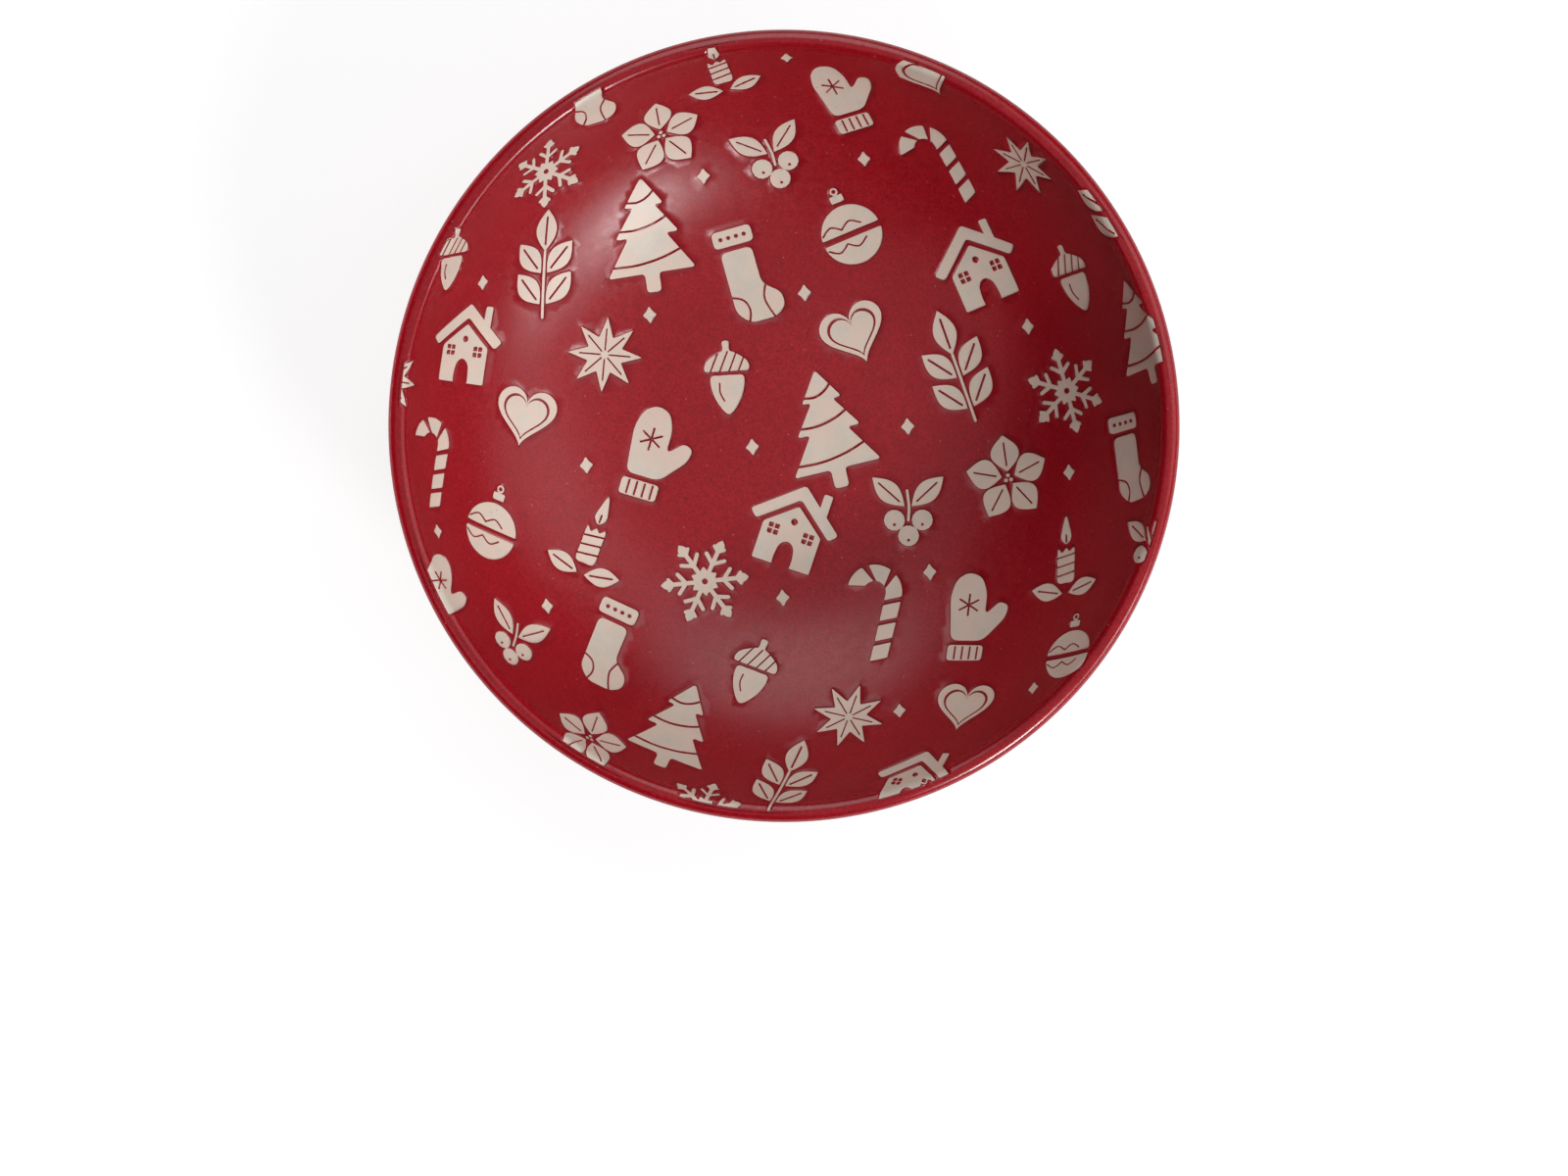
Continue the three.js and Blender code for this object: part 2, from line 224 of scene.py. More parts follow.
def make_piece(name, points, faces, material, slot, node, painted_edge=None):
    """A piece of the plate that stands for a node. Its last argument holds, at each point, the share
    of painted shade and painted light beside the windows' edges.
    """
    mesh = bpy.data.meshes.new(name)
    mesh.from_pydata((np.asarray(points) * MM).tolist(), [], faces)
    if painted_edge is not None:
        mesh.attributes.new(PAINTED_EDGE_ATTRIBUTE, "FLOAT", "POINT").data.foreach_set("value", painted_edge)
    mesh.shade_smooth()
    mesh.set_sharp_from_angle(angle=SHARP_ANGLE)
    mesh.materials.append(material)
    piece = bpy.data.objects.new(name, mesh)
    bpy.context.scene.collection.objects.link(piece)
    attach(piece, "root")
    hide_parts(node)


def turned(section, closed=True):
    """Points and faces of a section that runs anticlockwise, turned about the axis."""
    angles = np.linspace(0, TAU, TURN_STEPS, endpoint=False)
    points = []
    rings = []
    for radius, height in section:
        first = len(points)
        if radius == 0:
            points.append((0, 0, height))
            rings.append([first] * TURN_STEPS)
        else:
            points.extend((radius * math.cos(a), radius * math.sin(a), height) for a in angles)
            rings.append(list(range(first, first + TURN_STEPS)))
    faces = []
    for here, there in zip(rings, rings[1:] + (rings[:1] if closed else [])):
        for j in range(TURN_STEPS):
            k = (j + 1) % TURN_STEPS
            corners = list(dict.fromkeys([here[j], here[k], there[k], there[j]]))
            if len(corners) > 2:
                faces.append(corners)
    return points, faces


# Outlines of motifs, as rows of x and y in a square of side 1 about the motif's own centre

def leaf(x, y, angle, length, width, steps=14):
    t = np.linspace(0, 1, steps + 1)
    half = np.sin(math.pi * t) * width / 2
    lower = np.column_stack([t * length, -half])
    upper = np.column_stack([t * length, half])[::-1][1:-1]
    return turn(np.vstack([lower, upper]), angle) + [x, y]


def turn(points, angle):
    c, s = math.cos(angle), math.sin(angle)
    return np.asarray(points) @ np.array([[c, s], [-s, c]])


def disc(x, y, radius):
    steps = max(10, round(radius * 120))
    return arc([x, y], radius, 0, TAU, steps)[:-1]


def box(x0, y0, x1, y1, corner=0.02):
    return rounded([(x0, y0), (x1, y0), (x1, y1), (x0, y1)], corner)


def mirrored(right_half):
    right = [tuple(p) for p in right_half]
    left = [(-x, y) for x, y in right if x > 0]
    return right + left[::-1]


def rounded(points, radius, steps=4):
    """A polygon whose corners are rounded off, each by a little less than half its shorter side."""
    points = np.asarray(points, float)
    t = np.linspace(0, 1, steps + 1)[:, None]
    pieces = []
    for before, corner, after in zip(np.roll(points, 1, 0), points, np.roll(points, -1, 0)):
        back, ahead = before - corner, after - corner
        back_length, ahead_length = np.linalg.norm(back), np.linalg.norm(ahead)
        reach = min(radius, back_length / 2.1, ahead_length / 2.1)
        start = corner + back / back_length * reach
        end = corner + ahead / ahead_length * reach
        pieces.append((1 - t) ** 2 * start + 2 * t * (1 - t) * corner + t ** 2 * end)
    return np.vstack(pieces)


def through(points, steps=6, closed=True):
    """A smooth curve through the points."""
    p = np.asarray(points, float)
    ring = np.vstack([p[-1:], p, p[:2]]) if closed else np.vstack([p[:1], p, p[-1:]])
    t = np.linspace(0, 1, steps, endpoint=False)[:, None]
    pieces = []
    for a, b, c, d in zip(ring, ring[1:], ring[2:], ring[3:]):
        pieces.append(0.5 * (2 * b + (c - a) * t + (2 * a - 5 * b + 4 * c - d) * t ** 2
                             + (3 * b - a - 3 * c + d) * t ** 3))
    return np.vstack(pieces if closed else pieces + [p[-1:]])


def stroke(path, width=HAIR):
    """A line with round ends along a path."""
    path = np.asarray(path, float)
    along = np.gradient(path, axis=0)
    along /= np.linalg.norm(along, axis=1)[:, None]
    side = np.column_stack([-along[:, 1], along[:, 0]]) * width / 2
    lead = math.atan2(along[-1, 1], along[-1, 0])
    tail = math.atan2(along[0, 1], along[0, 0])
    return np.vstack([
        path - side,
        arc(path[-1], width / 2, lead - CREST, lead + CREST, 6)[1:-1],
        (path + side)[::-1],
        arc(path[0], width / 2, tail + CREST, tail + 3 * CREST, 6)[1:-1],
    ])


def line(x0, y0, x1, y1, width=HAIR):
    return stroke(np.linspace([x0, y0], [x1, y1], 5), width)


def bent(*points, width=HAIR):
    return stroke(through(points, closed=False), width)


def polar(radius, angle):
    return radius * math.cos(angle), radius * math.sin(angle)


def star(count, outer, inner, corner=0.02):
    half_turn = math.pi / count
    tips = [polar(outer if i % 2 == 0 else inner, CREST + i * half_turn) for i in range(2 * count)]
    return rounded(tips, corner)


def opened(*outlines):
    return [(outline, True) for outline in outlines]


def glazed(*outlines):
    return [(outline, False) for outline in outlines]


def veined_leaf(x, y, angle, length, width):
    base, tip = 0.16 * length, 0.8 * length
    vein = line(x + base * math.cos(angle), y + base * math.sin(angle),
                x + tip * math.cos(angle), y + tip * math.sin(angle))
    return opened(leaf(x, y, angle, length, width)) + glazed(vein)


def fir():
    tree = mirrored([
        (0.06, -0.5), (0.06, -0.34), (0.37, -0.34), (0.16, -0.02), (0.27, -0.02), (0.09, 0.24),
        (0.17, 0.24), (0, 0.5),
    ])
    garlands = [
        bent((-w, y - 0.05), (-w / 3, y - 0.06), (w / 3, y - 0.02), (w, y + 0.07))
        for w, y in ((0.36, -0.2), (0.26, 0.1), (0.14, 0.34))
    ]
    return opened(rounded(tree, 0.035)) + glazed(*garlands)


def heart():
    t = np.linspace(0, TAU, 64, endpoint=False)
    x = -16 * np.sin(t) ** 3 / 34
    y = (13 * np.cos(t) - 5 * np.cos(2 * t) - 2 * np.cos(3 * t) - np.cos(4 * t) + 2.5) / 34
    shape = np.column_stack([x, y])
    return opened(shape) + glazed(0.78 * shape) + opened(0.7 * shape)


def stocking():
    sock = rounded([
        (-0.16, -0.37), (-0.04, -0.5), (0.22, -0.5), (0.33, -0.42), (0.33, -0.28), (0.16, -0.14),
        (0.16, 0.24), (-0.16, 0.24),
    ], 0.07, 6)
    heel = bent((-0.19, -0.2), (-0.06, -0.26), (-0.02, -0.38), (-0.07, -0.52))
    toe = bent((0.2, -0.15), (0.15, -0.28), (0.17, -0.4), (0.22, -0.53))
    dots = [disc(x, 0.375, 0.022) for x in (-0.12, -0.04, 0.04, 0.12)]
    return opened(sock, box(-0.2, 0.29, 0.2, 0.46, 0.05)) + glazed(heel, toe, *dots)


def north_star():
    rays = [line(*polar(0.06, a), *polar(0.34, a)) for a in CREST + np.arange(8) * TAU / 8]
    return opened(star(8, 0.5, 0.24)) + glazed(*rays)


def candle():
    wax = through([
        (-0.1, -0.24), (0, -0.26), (0.1, -0.24), (0.105, -0.06), (0.1, 0.12), (0.04, 0.09),
        (0, 0.125), (-0.05, 0.08), (-0.1, 0.12), (-0.105, -0.06),
    ])
    flame = through([(0, 0.17), (0.06, 0.23), (0.05, 0.32), (0, 0.47), (-0.05, 0.32), (-0.06, 0.23)])
    wick = line(0, 0.19, 0, 0.27)
    bands = [bent((-0.12, y - 0.02), (0, y), (0.12, y + 0.02)) for y in (-0.16, -0.06, 0.04)]
    leaves = veined_leaf(-0.04, -0.38, 2.9, 0.38, 0.2) + veined_leaf(0.04, -0.38, 0.24, 0.38, 0.2)
    return opened(wax, flame) + glazed(wick, *bands) + leaves


def acorn():
    nut = through(mirrored([(0, -0.48), (0.12, -0.36), (0.2, -0.18), (0.21, 0), (0.08, 0.02)]))
    cup = through(mirrored([
        (0.14, 0.07), (0.28, 0.08), (0.26, 0.2), (0.12, 0.3), (0.045, 0.34), (0.04, 0.45),
    ]))
    hatch = [line(x - 0.06, 0.05, x + 0.06, 0.32) for x in (-0.16, -0.04, 0.08, 0.2)]
    gleam = bent((-0.1, -0.08), (-0.1, -0.2), (-0.05, -0.31))
    return opened(nut, cup) + glazed(gleam, *hatch)


def mitten():
    hand = rounded([
        (-0.2, -0.26), (0.14, -0.26), (0.36, 0), (0.38, 0.13), (0.28, 0.17), (0.13, 0.02),
        (0.13, 0.26), (0.06, 0.42), (-0.08, 0.46), (-0.2, 0.38), (-0.25, 0.2),
    ], 0.08, 6)
    arms = [polar(0.11, CREST + k * TAU / 6) for k in range(3)]
    snow = [line(-0.05 + x, 0.12 + y, -0.05 - x, 0.12 - y) for x, y in arms]
    ribs = [line(x, -0.46, x, -0.33) for x in (-0.14, -0.06, 0.02, 0.1)]
    return opened(hand, box(-0.22, -0.48, 0.16, -0.31, 0.04)) + glazed(*snow, *ribs)


def crystal():
    strokes = []
    for angle in CREST + np.arange(6) * TAU / 6:
        strokes.append(line(*polar(0.05, angle), *polar(0.42, angle), width=0.05))
        strokes.append(turn(leaf(0.36, 0, 0, 0.14, 0.1), angle))
        for side in (-1, 1):
            near, far = np.array(polar(0.21, angle)), np.array(polar(0.36, angle))
            twig_end = np.array(polar(0.14, angle + side * TAU / 7))
            strokes.append(line(*near, *(near + twig_end), width=0.045))
            strokes.append(line(*far, *(far + 0.55 * twig_end), width=0.04))
    hub = turn(star(6, 0.17, 0.11), TAU / 12)
    return opened(hub, *strokes) + glazed(disc(0, 0, 0.035))


def cane():
    radius, stem, half_width = 0.19, 0.69, 0.08
    stripe, spacing, slant = 0.16, 0.21, 0.035

    def across(d, side):
        bend = np.clip((d - stem) / radius, 0, math.pi)
        distance = radius + side * half_width
        height = np.minimum(d, stem) - 0.48 + distance * np.sin(bend)
        return np.column_stack([distance * np.cos(bend), height])

    stripes = []
    for i in range(6):
        start = i * spacing + slant
        d = np.linspace(start, start + stripe, 9)
        stripe_outline = np.vstack([across(d + slant, 1), across(d - slant, -1)[::-1]])
        stripes.append(rounded(stripe_outline, 0.012, 2))
    return opened(*stripes)


def poinsettia():
    petals = []
    for angle in CREST + np.arange(5) * TAU / 5:
        petals += veined_leaf(*polar(0.08, angle), angle, 0.42, 0.34)
    eyes = [disc(*polar(0.036, CREST + k * TAU / 3), 0.024) for k in range(3)]
    return petals + opened(*eyes)


def cottage():
    walls = rounded(mirrored([(0.3, -0.4), (0.3, -0.02), (0, 0.22)]), 0.02)
    roof = rounded(mirrored([(0, 0.29), (0.38, -0.02), (0.46, 0.06), (0, 0.44)]), 0.035)
    chimney = box(0.2, 0.12, 0.29, 0.42)
    door = through([(-0.08, -0.43), (-0.08, -0.22), (0, -0.15), (0.08, -0.22), (0.08, -0.43)])
    panes = [box(x - 0.055, -0.12, x + 0.055, -0.01, 0.01) for x in (-0.18, 0.18)]
    bars = [line(x, -0.13, x, 0, 0.016) for x in (-0.18, 0.18)]
    sills = [line(x - 0.06, -0.065, x + 0.06, -0.065, 0.016) for x in (-0.18, 0.18)]
    return (opened(walls, roof, chimney) + glazed(door, *panes, disc(0, 0.06, 0.035))
            + opened(*bars, *sills))


def mistletoe():
    berries = [(-0.16, -0.14), (0.16, -0.14), (0, -0.32)]
    leaves = veined_leaf(-0.04, 0.02, 2.4, 0.5, 0.24) + veined_leaf(0.04, 0.02, 0.74, 0.5, 0.24)
    stalk = opened(bent((0, -0.14), (0.01, 0.02), (-0.01, 0.2), width=0.03))
    return (leaves + stalk + opened(*(disc(x, y, 0.12) for x, y in berries))
            + glazed(*(disc(x, y - 0.05, 0.018) for x, y in berries)))


def twig():
    leaves = []
    for y in (-0.38, -0.1):
        leaves += veined_leaf(0.03, y, 0.9, 0.36, 0.2)
        leaves += veined_leaf(-0.03, y, math.pi - 0.9, 0.36, 0.2)
    leaves += veined_leaf(0, 0.1, CREST, 0.4, 0.2)
    return opened(line(0, -0.5, 0, 0.1, 0.024)) + leaves


def bauble():
    radius, band = 0.36, 0.1
    centre = [0, -0.12]
    upper = rounded(arc(centre, radius, band, math.pi - band, 30), 0.02, 2)
    lower = rounded(arc(centre, radius, math.pi + band, TAU - band, 30), 0.02, 2)
    swag = ((-0.12, 0.09), (0, 0.16), (0.12, 0.09))
    swags = [bent(*((x + dx, centre[1] + side * dy) for dx, dy in swag))
             for x in (-0.21, 0.03) for side in (1, -1)]
    loop = opened(disc(0, 0.43, 0.05)) + glazed(disc(0, 0.43, 0.026))
    return opened(upper, lower, box(-0.08, 0.29, 0.08, 0.38)) + glazed(*swags) + loop


def spark():
    """A small lozenge with hollow sides."""
    right = [(0, -0.5), (0.17, -0.2), (0.4, 0), (0.17, 0.2), (0, 0.5)]
    return opened(rounded(mirrored(right), 0.12))


# Each motif with its size as a share of the pitch
MOTIFS = [
    (fir, 1.08), (heart, 0.62), (stocking, 0.9), (north_star, 0.68), (candle, 0.88),
    (acorn, 0.7), (mitten, 0.9), (crystal, 0.8), (cane, 0.92), (poinsettia, 0.78),
    (cottage, 0.9), (mistletoe, 0.78), (twig, 1.04), (bauble, 0.76),
]


# Layout of the print on a sheet laid over the well from its middle

def seeds(pitch, limit):
    """Seeds of a sunflower out to a limit, each with the same area round it."""
    ring = pitch / math.sqrt(math.pi)
    i = np.arange(math.floor((limit / ring) ** 2))
    distance = ring * np.sqrt(i + 0.5)
    return np.column_stack([distance * np.cos(i * GOLDEN_ANGLE), distance * np.sin(i * GOLDEN_ANGLE)])


def motif_places():
    """The drawing, size, place and tilt of each motif."""
    places = []
    for i, place in enumerate(seeds(MOTIF_PITCH, WALL_END + MOTIF_OVERHANG)):
        draw, size = MOTIFS[(i * MOTIF_STRIDE) % len(MOTIFS)]
        tilt = MOTIF_TILT * math.sin(TILT_STEP * i + TILT_START)
        places.append((draw, size * MOTIF_PITCH, place, tilt))
    return places


def spark_places(motifs):
    """The same for the small lozenges, which stand in the gaps between the motifs."""
    circles = [(at, (size + SPARK) / 2 + SPARK_CLEARANCE) for _, size, at, _ in motifs]
    chosen = []
    for place in seeds(SPARK, WALL_END - SPARK):
        if all(np.linalg.norm(at - place) > clearance for at, clearance in circles):
            circles.append((place, SPARK_SPACING))
            chosen.append((spark, SPARK, place, SPARK_TILT))
    return chosen


def print_layers():
    """The outlines of the whole print in the order in which they are laid over one another."""
    motifs = motif_places()
    layers = []
    for draw, size, place, tilt in motifs + spark_places(motifs):
        for outline, is_open in draw():
            layers.append((turn(np.asarray(outline) * size, tilt) + place, is_open))
    return layers


def is_clockwise(outline):
    x, y = outline.T
    return np.dot(x, np.roll(y, -1)) < np.dot(y, np.roll(x, -1))


def window_edges(layers):
    """The edges of the open windows, each from its start to its end with the glaze on its right."""
    outlines = [arc([0, 0], PRINT_END, 0, TAU, TURN_STEPS)[:-1]]
    outlines += [o[::-1] if is_clockwise(o) else o for o, _ in layers]
    corners = [Vector(p) for outline in outlines for p in outline]
    ends = np.cumsum([len(outline) for outline in outlines])
    faces = [list(range(end - len(outline), end)) for outline, end in zip(outlines, ends)]
    result = geometry.delaunay_2d_cdt(corners, [], faces, 0, OUTLINE_TOLERANCE, True)
    points, _, triangles, _, _, owners = result
    edges = set()
    for triangle, owner in zip(triangles, owners):
        if 0 in owner and max(owner) > 0 and layers[max(owner) - 1][1]:
            edges.update(zip(triangle, triangle[1:] + triangle[:1]))
    border = [(a, b) for a, b in edges if (b, a) not in edges]
    return np.array(points), border


def split_edges(points, edges, step):
    """The same edges in lengths of no more than a step."""
    used = sorted({v for edge in edges for v in edge})
    number = {v: i for i, v in enumerate(used)}
    split_points = [points[v] for v in used]
    split = []
    for a, b in edges:
        count = max(1, math.ceil(np.linalg.norm(points[b] - points[a]) / step))
        last = number[a]
        for k in range(1, count):
            split_points.append(points[a] + (points[b] - points[a]) * k / count)
            split.append((last, len(split_points) - 1))
            last = len(split_points) - 1
        split.append((last, number[b]))
    return np.array(split_points), split


def nearest_edge_distances(places, points, edges):
    """How far each place is from the windows' edges."""
    starts, ends = (points[index] for index in np.array(edges).T)
    samples = np.vstack([starts + (ends - starts) * t for t in EDGE_SAMPLES])
    tree = kdtree.KDTree(len(samples))
    for i, (x, y) in enumerate(samples):
        tree.insert((x, y, 0), i)
    tree.balance()
    return np.array([tree.find((x, y, 0))[2] for x, y in places])


def thinned(places, spacings, fixed):
    """The places that keep their spacing from the fixed ones and from those kept before them."""
    cell = max(spacings)
    buckets = {}

    def put(x, y):
        buckets.setdefault((int(x // cell), int(y // cell)), []).append((x, y))

    def neighbours(x, y):
        i, j = int(x // cell), int(y // cell)
        for di in (-1, 0, 1):
            for dj in (-1, 0, 1):
                yield from buckets.get((i + di, j + dj), ())

    for x, y in fixed:
        put(x, y)
    kept = []
    for (x, y), spacing in zip(places, spacings):
        if all((x - u) ** 2 + (y - v) ** 2 > spacing ** 2 for u, v in neighbours(x, y)):
            kept.append((x, y))
            put(x, y)
    return np.array(kept)


def clear_places(places, points, edges, clearance):
    """The places that keep a clearance from the windows' edges."""
    return places[nearest_edge_distances(places, points, edges) > clearance]


def ring_of(radius, count, shift=0.0):
    angles = (np.arange(count) + shift) * TAU / count
    return radius * np.column_stack([np.cos(angles), np.sin(angles)])


def spaced_ring(radius, step, shift=0.0):
    """A ring of places about a step apart."""
    return ring_of(radius, max(LEAST_ON_RING, round(TAU * radius / step)), shift)


def row_places(points, edges, offsets, side):
    """Rows of places beside the windows' edges, on the glaze (side 1) or on the clay (side -1)."""
    first, second = np.array(edges).T
    start, end = points[first], points[second]
    along = (end - start) / np.linalg.norm(end - start, axis=1)[:, None]
    across = side * np.column_stack([along[:, 1], -along[:, 0]])
    corner = np.zeros_like(points)
    np.add.at(corner, first, across)
    np.add.at(corner, second, across)
    corner /= np.maximum(np.linalg.norm(corner, axis=1), 1e-9)[:, None]
    rows = []
    for offset in offsets:
        places = np.vstack([points + corner * offset, (start + end) / 2 + across * offset])
        places = clear_places(places, points, edges, ROW_CLEARANCE * offset)
        rows.append((places, ROW_SPACING[0] * offset + ROW_SPACING[1]))
    return rows


def field_places(points, edges):
    """Rings of places over the well, and closer ones round the lip."""
    rings = [np.zeros((1, 2))]
    for k in range(1, int(WALL_END / FIELD_STEP) + 1):
        rings.append(spaced_ring(k * FIELD_STEP, FIELD_STEP, 0.5 * (k % 2)))
    field = clear_places(np.vstack(rings), points, edges, FIELD_CLEARANCE)
    lip_rings = np.linspace(WALL_END, CREST_END, round((CREST_END - WALL_END) / LIP_STEP) + 1)[:-1]
    lip = np.vstack([ring_of(radius, TURN_STEPS) for radius in lip_rings])
    lip = clear_places(lip, points, edges, LIP_CLEARANCE)
    return [(lip, LIP_CLEARANCE), (field, FIELD_SPACING)]


def under_places(points, edges):
    """Coarse rings over the clay under the glaze, and closer ones round the lip."""
    field_radii = np.arange(UNDERSIDE_STEP, WALL_END - UNDERSIDE_MARGIN, UNDERSIDE_STEP)
    lip_radii = np.arange(WALL_END, CREST_END - UNDERSIDE_LIP_MARGIN, UNDERSIDE_LIP_STEP)
    rings = [spaced_ring(radius, UNDERSIDE_STEP) for radius in field_radii]
    rings += [ring_of(radius, TURN_STEPS // 2) for radius in lip_radii]
    return clear_places(np.vstack(rings), points, edges, UNDERSIDE_CLEARANCE)


def open_triangles(triangles, edges):
    """Whether each triangle is in a window, found by spreading from the windows' edges."""
    owner = {}
    for i, t in enumerate(triangles):
        for edge in zip(t, t[1:] + t[:1]):
            owner[edge] = i
    is_open = {}
    for a, b in edges:
        is_open[owner[(a, b)]] = True
        is_open[owner[(b, a)]] = False
    frontier = list(is_open)
    while frontier:
        i = frontier.pop()
        t = triangles[i]
        for a, b in zip(t, t[1:] + t[:1]):
            other = owner.get((b, a))
            if other is None or other in is_open or (a, b) in edges or (b, a) in edges:
                continue
            is_open[other] = is_open[i]
            frontier.append(other)
    return [is_open.get(i, False) for i in range(len(triangles))]


def print_triangles(points, edges, extra):
    """All the places with the border ring last, and the triangles on the glaze and in the windows."""
    border = ring_of(CREST_END, TURN_STEPS)
    first = len(points) + len(extra)
    rim = [(first + i, first + (i + 1) % TURN_STEPS) for i in range(TURN_STEPS)]
    everything = np.vstack([points, extra, border])
    corners = [Vector(p) for p in everything]
    result = geometry.delaunay_2d_cdt(corners, edges + rim, [], 0, PLACE_TOLERANCE, True)
    out_points, _, triangles, sources, _, _ = result
    source = [min(s) if s else -1 for s in sources]
    if min(source) < 0 or len(out_points) != len(everything):
        counts = (len(everything), len(out_points))
        raise RuntimeError("the windows' edges cross: %d points became %d" % counts)
    triangles = [tuple(source[v] for v in t) for t in triangles]
    is_open = open_triangles(triangles, set(edges))
    glazed_over = [t for t, o in zip(triangles, is_open) if not o]
    bare = [t for t, o in zip(triangles, is_open) if o]
    return everything, glazed_over, bare


def fine_triangles(points, edges, rows):
    """The same with rows of places thinned out, and with the places' distances from the edges."""
    spacings = [spacing for places, spacing in rows for _ in places]
    extra = thinned(np.vstack([places for places, _ in rows]), spacings, points)
    places, glazed_over, bare = print_triangles(points, edges, extra)
    distances = nearest_edge_distances(places, points, edges)
    distances[:len(points)] = 0
    return places, distances, glazed_over, bare


def over_print(places, height):
    """The points of space over places of the print, at heights over the glazed surface."""
    along = np.linalg.norm(places, axis=1)
    on_lip = along > WALL_END
    tilt = np.where(on_lip, ARC_SPAN - (along - WALL_END) / HALF,
                    np.maximum(along - FLOOR_RADIUS, 0) / INSIDE_RADIUS)
    radius = np.where(on_lip, LIP[0] - (HALF + height) * np.sin(tilt),
                      np.minimum(along, FLOOR_RADIUS) + (INSIDE_RADIUS - height) * np.sin(tilt))
    z = np.where(on_lip, LIP[1] + (HALF + height) * np.cos(tilt),
                 ARC_CENTRE[1] - (INSIDE_RADIUS - height) * np.cos(tilt))
    scale = radius / np.maximum(along, 1e-9)
    return np.column_stack([places * scale[:, None], z])


def coat_height(distance):
    """The glaze over its field, at a distance from the nearest window."""
    t = np.clip(distance / BEAD, 0, 1)
    fade = np.clip((distance - BEAD) / BULGE_WIDTH, 0, 1)
    swell = np.where(distance < BEAD, 1, 1 - fade * fade * (3 - 2 * fade))
    return (COAT + BULGE * swell) * np.sqrt(1 - (1 - t) ** 2) - COAT


# Share of the painted shade and painted light at a distance from the windows' edges
def painted_edge_shares(distances):
    return np.clip(1 - distances / PAINTED_EDGE_WIDTH, 0, 1)


def printed_coat(points, edges):
    """Points, faces and the share of painted shade beside the windows' edges, of the coat of the well.
    """
    rows = row_places(points, edges, BEAD_ROWS, 1) + field_places(points, edges)
    places, distances, top, _ = fine_triangles(points, edges, rows)
    upper = over_print(places, coat_height(distances))
    low_places, bottom, _ = print_triangles(points, edges, under_places(points, edges))
    lower = over_print(low_places[len(points):], -COAT)

    shift = len(upper) - len(points)
    under = [[v if v < len(points) else v + shift for v in reversed(t)] for t in bottom]
    top_rim = len(upper) - TURN_STEPS
    low_rim = top_rim + len(lower)
    wall = []
    for i in range(TURN_STEPS):
        j = (i + 1) % TURN_STEPS
        wall.append([top_rim + j, top_rim + i, low_rim + i, low_rim + j])
    painted_edge = np.concatenate([painted_edge_shares(distances), np.zeros(len(lower))])
    return np.vstack([upper, lower]), top + under + wall, painted_edge


def clay_body(points, edges):
    """Points, faces and the share of painted light beside the windows' edges, of the clay, whose
    inside shows in the windows.
    """
    section = np.vstack([recess_path(COAT), standing_path(), outside_path(COAT)[::-1]])
    outer, outer_faces = turned(section, closed=False)
    rows = row_places(points, edges, CLAY_ROWS, -1)
    rows.append((under_places(points, edges), UNDERSIDE_CLEARANCE))
    places, distances, glazed_over, bare = fine_triangles(points, edges, rows)
    border = len(places) - TURN_STEPS
    crest = len(outer) - TURN_STEPS
    inner = over_print(places[:border], -COAT)
    inner_faces = [[crest + v - border if v >= border else len(outer) + v for v in t]
                   for t in glazed_over + bare]
    painted_edge = np.concatenate([np.zeros(len(outer)), painted_edge_shares(distances[:border])])
    return np.vstack([outer, inner]), outer_faces + inner_faces, painted_edge


def build_plate(clay, glaze):
    points, edges = split_edges(*window_edges(print_layers()), EDGE_STEP)
    body, faces, painted_edge = clay_body(points, edges)
    make_piece("plate_body", body, faces, clay, "bare_stoneware", "stoneware_body", painted_edge)
    coat, faces, painted_edge = printed_coat(points, edges)
    make_piece("well_glaze", coat, faces, glaze, "red_glaze", "inner_glaze", painted_edge)
    outside = np.vstack([
        outside_path(0, BARE_TOP + BEAD)[::-1],
        outside_path(COAT),
        bead_path(FOOT_RADIUS, -1)[::-1],
    ])
    make_piece("outside_glaze", *turned(outside), glaze, "red_glaze", "outer_glaze")
    recess = np.vstack([
        recess_path(0, BARE_TOP + BEAD),
        bead_path(RECESS_RADIUS, 1),
        recess_path(COAT)[::-1],
    ])
    make_piece("recess_glaze", *turned(recess), glaze, "red_glaze", "base_glaze")


# Materials

def new_material(name):
    material = bpy.data.materials.new(name)
    material.use_nodes = True
    return material, material.node_tree.nodes, material.node_tree.links


def add_place(nodes, kind="Object"):
    return nodes.new("ShaderNodeTexCoord").outputs[kind]


def add_noise(nodes, links, per_metre, detail, roughness=0.5):
    """Noise over the object's own space, with so many cells to the metre."""
    noise = nodes.new("ShaderNodeTexNoise")
    noise.inputs["Scale"].default_value = per_metre
    noise.inputs["Detail"].default_value = detail
    noise.inputs["Roughness"].default_value = roughness
    links.new(add_place(nodes), noise.inputs["Vector"])
    return noise.outputs["Fac"]


def add_specks(nodes, links, per_metre, radius):
    """1 in small round specks strewn at random, and 0 elsewhere."""
    cells = nodes.new("ShaderNodeTexVoronoi")
    cells.inputs["Scale"].default_value = per_metre
    links.new(add_place(nodes), cells.inputs["Vector"])
    return add_range(nodes, links, cells.outputs["Distance"], (radius, SPECK_CORE * radius), (0, 1))


def add_range(nodes, links, value, old, new):
    """A value taken from one range to another, and held to its ends."""
    node = nodes.new("ShaderNodeMapRange")
    node.inputs["From Min"].default_value, node.inputs["From Max"].default_value = old
    node.inputs["To Min"].default_value, node.inputs["To Max"].default_value = new
    links.new(value, node.inputs["Value"])
    return node.outputs["Result"]


